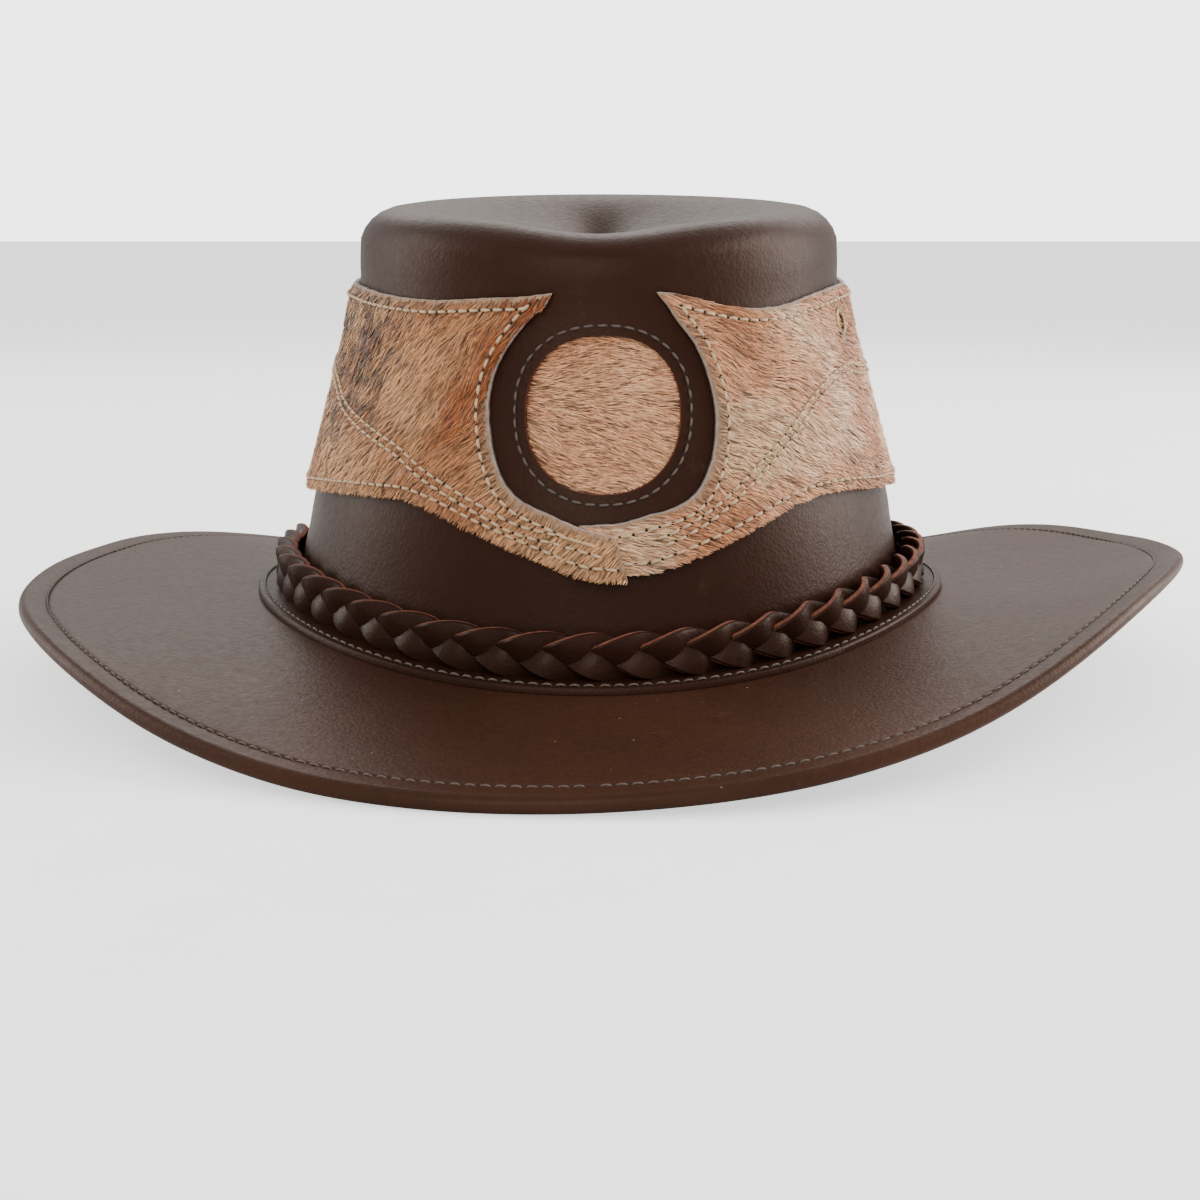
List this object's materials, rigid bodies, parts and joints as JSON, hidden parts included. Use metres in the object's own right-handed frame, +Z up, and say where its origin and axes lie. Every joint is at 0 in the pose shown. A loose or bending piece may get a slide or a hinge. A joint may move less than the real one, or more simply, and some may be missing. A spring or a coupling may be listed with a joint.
{
  "type": "cowboy hat",
  "caption": "Brown leather cowboy hat with a dished crown, hair-on cowhide side panels and medallion, a plaited leather band and a wired brim turned up at the sides.",
  "frame": {"origin": "centre of the brim's outline, at the level its lowest points rest on", "axes": "+Z up through the crown, front of the hat towards -Y, +X to the right when seen from the front"},
  "size_m": [0.34, 0.38, 0.1338],
  "materials": {
    "hat_leather": "oiled, soft sheen",
    "braid_leather": "oiled, raw reddish edges",
    "sweatband_leather": "matte",
    "cowhide": "short hair",
    "cream_thread": "waxed",
    "brown_thread": "waxed",
    "antique_brass": "antique",
    "steel_wire": "plain"
  },
  "bodies": {
    "hat": {"brim": "hat_leather", "brim_wire": "steel_wire", "brim_hem_thread": "brown_thread", "crown": "hat_leather", "crown_seam_thread": "brown_thread", "sweatband": "sweatband_leather", "sweatband_thread": "brown_thread", "medallion_patch": "cowhide", "medallion_thread": "brown_thread", "hide_panel_left": "cowhide", "hide_panel_right": "cowhide", "hide_panel_left_border_thread": "cream_thread", "hide_panel_right_border_thread": "cream_thread", "hide_panel_left_double_thread": "cream_thread", "hide_panel_right_double_thread": "cream_thread", "eyelet_right_front": "antique_brass", "eyelet_right_rear": "antique_brass", "eyelet_left_front": "antique_brass", "eyelet_left_rear": "antique_brass", "eyelet_washer_right_front": "antique_brass", "eyelet_washer_right_rear": "antique_brass", "eyelet_washer_left_front": "antique_brass", "eyelet_washer_left_rear": "antique_brass"},
    "plaited_band": {"band_strand_lower": "braid_leather", "band_strand_middle": "braid_leather", "band_strand_upper": "braid_leather", "band_keeper": "braid_leather"}
  },
  "joints": [
    {"name": "band_lift", "type": "slide", "parent": "hat", "child": "plaited_band", "axis": [0, 0, 1], "range_m": [0, 0.12]}
  ]
}
